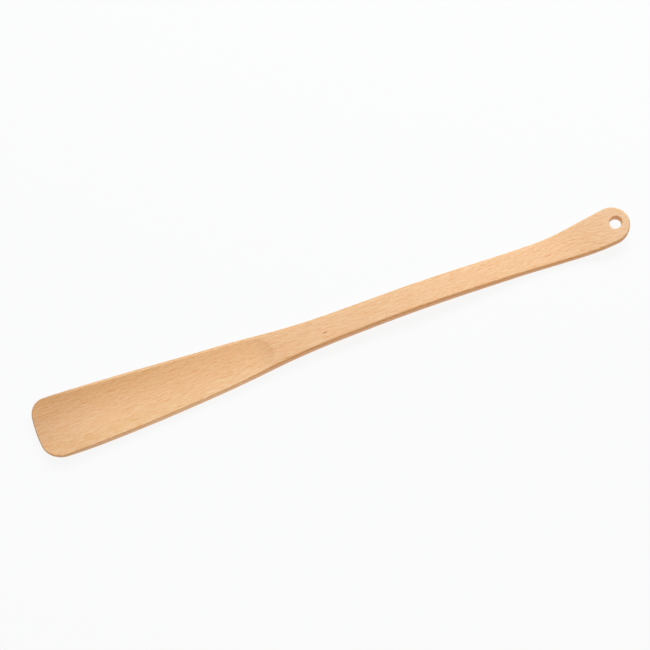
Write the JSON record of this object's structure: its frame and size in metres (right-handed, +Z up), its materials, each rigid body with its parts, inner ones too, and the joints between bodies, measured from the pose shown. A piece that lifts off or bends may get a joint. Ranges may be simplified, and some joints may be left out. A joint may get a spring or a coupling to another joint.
{
  "type": "long shoehorn",
  "caption": "Long-handled wooden shoehorn: wide scooped blade with rounded corners, slim rectangular shaft, and a grip that dips back and flares into a rounded end drilled for hanging.",
  "frame": {"origin": "middle of the bounding box, at table height, with the shoehorn lying on its back", "axes": "+X from the blade's tip towards the drilled end of the grip, +Z up out of the scooped front, +Y across to the left edge as seen from the tip"},
  "size_m": [0.38, 0.0384, 0.013],
  "materials": {
    "beech": null
  },
  "bodies": {
    "root": {"shoehorn_body": "beech"}
  },
  "joints": []
}
